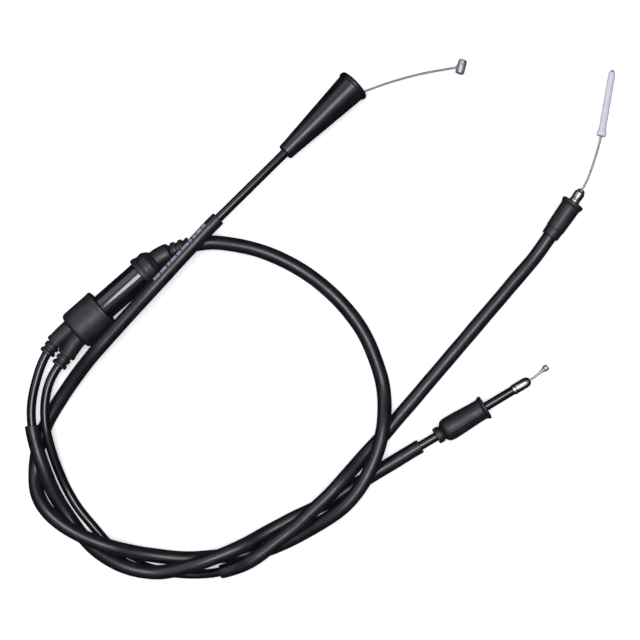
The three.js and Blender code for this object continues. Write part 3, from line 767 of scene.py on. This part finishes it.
def make_splitter_ferrules():
    for name in ("grip", "carb", "pump"):
        axis = -SPLITTER_AXIS if name == "grip" else SPLITTER_AXIS
        node = f"splitter_{name}_ferrule"
        start, end = span(node, axis)
        length = (end - start).length / MM
        make_ferrule(f"splitter_{name}_end_ferrule", node, axis, [
            (0, 1.15, 0.1), (0, 3.15, 0.3), (length - 0.9, 3.15, 0.5), (length, 2.6, 0.3),
            (length, 1.15, 0.1), (0, 1.15, 0),
        ])


def keep_hidden_nodes():
    """The pieces inside the splitter keep their CAD shape and get their own material."""
    slots = {row["node"]: row["material_slot"] for row in frame["record"]["subparts"]}
    for node in HIDDEN_NODES:
        data = frame["nodes"][node].data
        data.materials.clear()
        data.materials.append(MATERIALS[slots[node]])


# ---------------------------------------------------------------- carburettor end

def make_carb_end():
    inward = AXIS["carb_wire_pull"]
    mouth = span("carb_boot", inward)[0]
    boot = skin("carb_end_boot", line(mouth, inward), rounded([
        (0, 6.5, 0.3), (0, 7.3, 0.3), (0.7, 7.75, 0.5), (2.2, 7.6, 0.7), (3.4, 6.75, 1.2), (19.8, 6.4, 1),
        (21.2, 6.35, 0.5), (21.7, 6.0, 0.4), (26.6, 5.85, 0.5), (27.4, 5.6, 0.3), (27.4, 5.0, 0.2),
        (24, 5.0, 1), (10, 5.3, 2), (0, 6.5, 0),
    ]), segments=96, seams=(math.radians(60), math.radians(240)))
    place(boot, "carb_boot", "black_rubber", "carb_boot")
    make_ferrule("carb_end_ferrule", "carb_ferrule", inward, [
        (0, 1.3, 0.1), (0, 2.0, 0.3), (0.5, 2.5, 0.4), (1.7, 2.6, 0.2), (1.8, 3.0, 0.3), (2.5, 3.45, 0.4),
        (6.4, 3.45, 0.3), (6.8, 3.2, 0.2), (7.6, 3.2, 0.2), (8.0, 3.45, 0.3), (14.7, 3.45, 0.3),
        (14.7, 3.05, 0.1), (13.9, 3.05, 0.1), (13.9, 1.3, 0.1), (0, 1.3, 0),
    ])

    hidden_end = CARB_PATH.at(CARB_PATH.length - HIDDEN_REACH * MM)
    path = smooth_path(centreline("carb_wire", hidden_end, 2 * MM), passes=40)
    end = path.length / MM
    wire = make_wire("carb_end_wire", path, 0, end + 0.6)
    place(wire, "carb_end", "wire_steel", "carb_wire")
    guide_start = end + GUIDE["nipple_depth"] - GUIDE["length"]
    guide_end = end + GUIDE["nipple_depth"]
    guide = skin("carb_wire_guide_tube", path, rounded([
        (guide_start, 1.1, 0.1), (guide_start, 2.75, 0.4), (guide_start + 0.8, 3.15, 0.5),
        (guide_start + 3.4, 3.0, 0.6), (guide_start + 4.4, 2.35, 0.7), (guide_end - 2.0, 2.25, 1.0),
        (guide_end, 1.95, 0.4), (guide_end, 1.72, 0.1), (end - 0.2, 1.72, 0.2), (end - 0.6, 1.1, 0.2),
        (guide_start, 1.1, 0),
    ]), segments=64, step=1 * MM)
    place(guide, "carb_end", "clear_guide", "carb_wire_guide")
    nipple = skin("carb_end_nipple", path, rounded([
        (end + 0.3, 0, 0), (end + 0.3, 1.3, 0.3), (end + 0.9, 1.5, 0.3), (end + 5.2, 1.5, 0.4),
        (end + 6.1, 1.0, 0.6), (end + 6.2, 0, 0),
    ]), segments=48)
    place(nipple, "carb_end", "zinc_nipple", "carb_nipple")


# ---------------------------------------------------------------- oil pump end

def make_pump_end():
    inward = AXIS["pump_wire_pull"]
    mouth = span("pump_boot", inward)[0]
    boot = skin("pump_end_boot", line(mouth, inward), rounded([
        (0, 6.6, 0.3), (0, 7.9, 0.3), (0.7, 8.35, 0.5), (1.9, 8.2, 0.8), (3.1, 7.05, 1.2), (10, 7.2, 3),
        (22, 7.85, 3), (31.0, 7.95, 4.0), (33.2, 4.8, 1.6), (34.0, 4.8, 0.3),
        (34.2, 5.5, 0.4), (37.4, 5.6, 0.6), (38.2, 5.1, 0.4), (38.2, 3.15, 0.2), (31.5, 3.15, 1),
        (28, 5.7, 2), (5, 6.2, 2), (0, 6.6, 0),
    ]), segments=96, seams=(math.radians(75), math.radians(255)))
    place(boot, "pump_boot", "black_rubber", "pump_boot")
    make_ferrule("pump_end_ferrule", "pump_ferrule", inward, [
        (0, 1.2, 0.1), (0, 1.6, 0.3), (0.9, 2.7, 0.8), (2.8, 3.45, 1.2), (10.2, 3.45, 0.3),
        (10.6, 3.25, 0.2), (11.1, 3.45, 0.3), (12.8, 3.5, 0.3), (12.8, 3.05, 0.1), (12.0, 3.05, 0.1),
        (12.0, 1.2, 0.1), (0, 1.2, 0),
    ], "chrome")

    hidden_end = PUMP_PATH.at(PUMP_PATH.length - HIDDEN_REACH * MM)
    path = smooth_path(centreline("pump_wire", hidden_end, 2 * MM), spacing=0.5 * MM, passes=20)
    end = path.length / MM
    wire = make_wire("pump_end_wire", path, 0, end + 1.4)
    place(wire, "pump_end", "wire_steel", "pump_wire")
    nipple = skin("pump_end_nipple", path, rounded([
        (end + 0.3, 0, 0), (end + 0.3, 0.85, 0.1), (end + 2.4, 0.95, 0.6), (end + 4.9, 1.75, 0.6),
        (end + 5.5, 2.15, 0.5), (end + 7.3, 2.15, 0.5), (end + 7.9, 1.6, 0.3), (end + 7.7, 0.9, 0.2),
        (end + 7.3, 0.6, 0.2), (end + 7.3, 0, 0),
    ]), segments=48)
    place(nipple, "pump_end", "zinc_nipple", "pump_nipple")


# ---------------------------------------------------------------- floor, light and camera

def make_sky(tree):
    """A soft box overhead that fades to darkness towards the horizon."""
    background = tree.nodes["Background"]
    background.inputs["Color"].default_value = SKY["color"]
    direction = tree.nodes.new("ShaderNodeTexCoord")
    height = tree.nodes.new("ShaderNodeSeparateXYZ")
    fade = tree.nodes.new("ShaderNodeMapRange")
    fade.interpolation_type = "SMOOTHSTEP"
    fade.inputs["From Min"].default_value, fade.inputs["From Max"].default_value = SKY["heights"]
    fade.inputs["To Min"].default_value, fade.inputs["To Max"].default_value = SKY["strengths"]
    tree.links.new(direction.outputs["Generated"], height.inputs["Vector"])
    tree.links.new(height.outputs["Z"], fade.inputs["Value"])
    tree.links.new(fade.outputs["Result"], background.inputs["Strength"])


def make_stage():
    mesh = bmesh.new()
    bmesh.ops.create_grid(mesh, x_segments=1, y_segments=1, size=FLOOR["size"] / 2)
    floor = new_object("floor", mesh)
    floor.location.z = FLOOR["height"]
    pale = Finish("pale_floor", (0.9, 0.9, 0.9), 0.8)
    pale.mottle(40, (0.88, 0.88, 0.885))
    pale.shader.inputs["Emission Color"].default_value = (1, 1, 1, 1)
    pale.shader.inputs["Emission Strength"].default_value = FLOOR["glow"]
    floor.data.materials.append(pale.material)
    floor.visible_glossy = False

    world = bpy.data.worlds.new("studio")
    world.use_nodes = True
    bpy.context.scene.world = world
    make_sky(world.node_tree)
    for name, (place_at, size, power, color) in LIGHTS.items():
        lamp = bpy.data.lights.new(name, "AREA")
        lamp.shape = "DISK"
        lamp.size = size
        lamp.energy = power
        lamp.color = color
        light = bpy.data.objects.new(name, lamp)
        light.location = place_at
        light.rotation_euler = (-Vector(place_at)).to_track_quat("-Z", "Y").to_euler()
        bpy.context.scene.collection.objects.link(light)


def make_camera():
    """Straight above the coil, far enough for little perspective."""
    data = bpy.data.cameras.new("camera")
    data.sensor_width = CAMERA["sensor"]
    data.lens = CAMERA["sensor"] * (CAMERA["height"] - CAMERA["focus_height"]) / CAMERA["view_width"]
    camera = bpy.data.objects.new("camera", data)
    camera.location = (CAMERA["centre"][0] * MM, CAMERA["centre"][1] * MM, CAMERA["height"] * MM)
    bpy.context.scene.collection.objects.link(camera)
    bpy.context.scene.camera = camera
    bpy.context.scene.view_settings.view_transform = "Standard"


# ---------------------------------------------------------------- the whole scene

GRIP_RELIEF = soft_unevenness(0.12, 21)
for cable, cable_path in (("grip", GRIP_PATH), ("carb", CARB_PATH), ("pump", PUMP_PATH)):
    make_conduit(cable, cable_path)
make_sleeve("grip", GRIP_PATH, GRIP_PATH.at(60 * MM), GRIP_RELIEF)
make_sleeve("carb", CARB_PATH, CARB_PATH.at(CARB_PATH.length), soft_unevenness(0.12, 22))
make_sleeve("pump", PUMP_PATH, PUMP_PATH.at(PUMP_PATH.length), soft_unevenness(0.12, 23))
make_print_marks(GRIP_PATH, GRIP_RELIEF)
make_grip_end()
make_splitter_body()
make_bottom_boot()
make_top_boot()
make_splitter_ferrules()
keep_hidden_nodes()
make_carb_end()
make_pump_end()
make_stage()
make_camera()
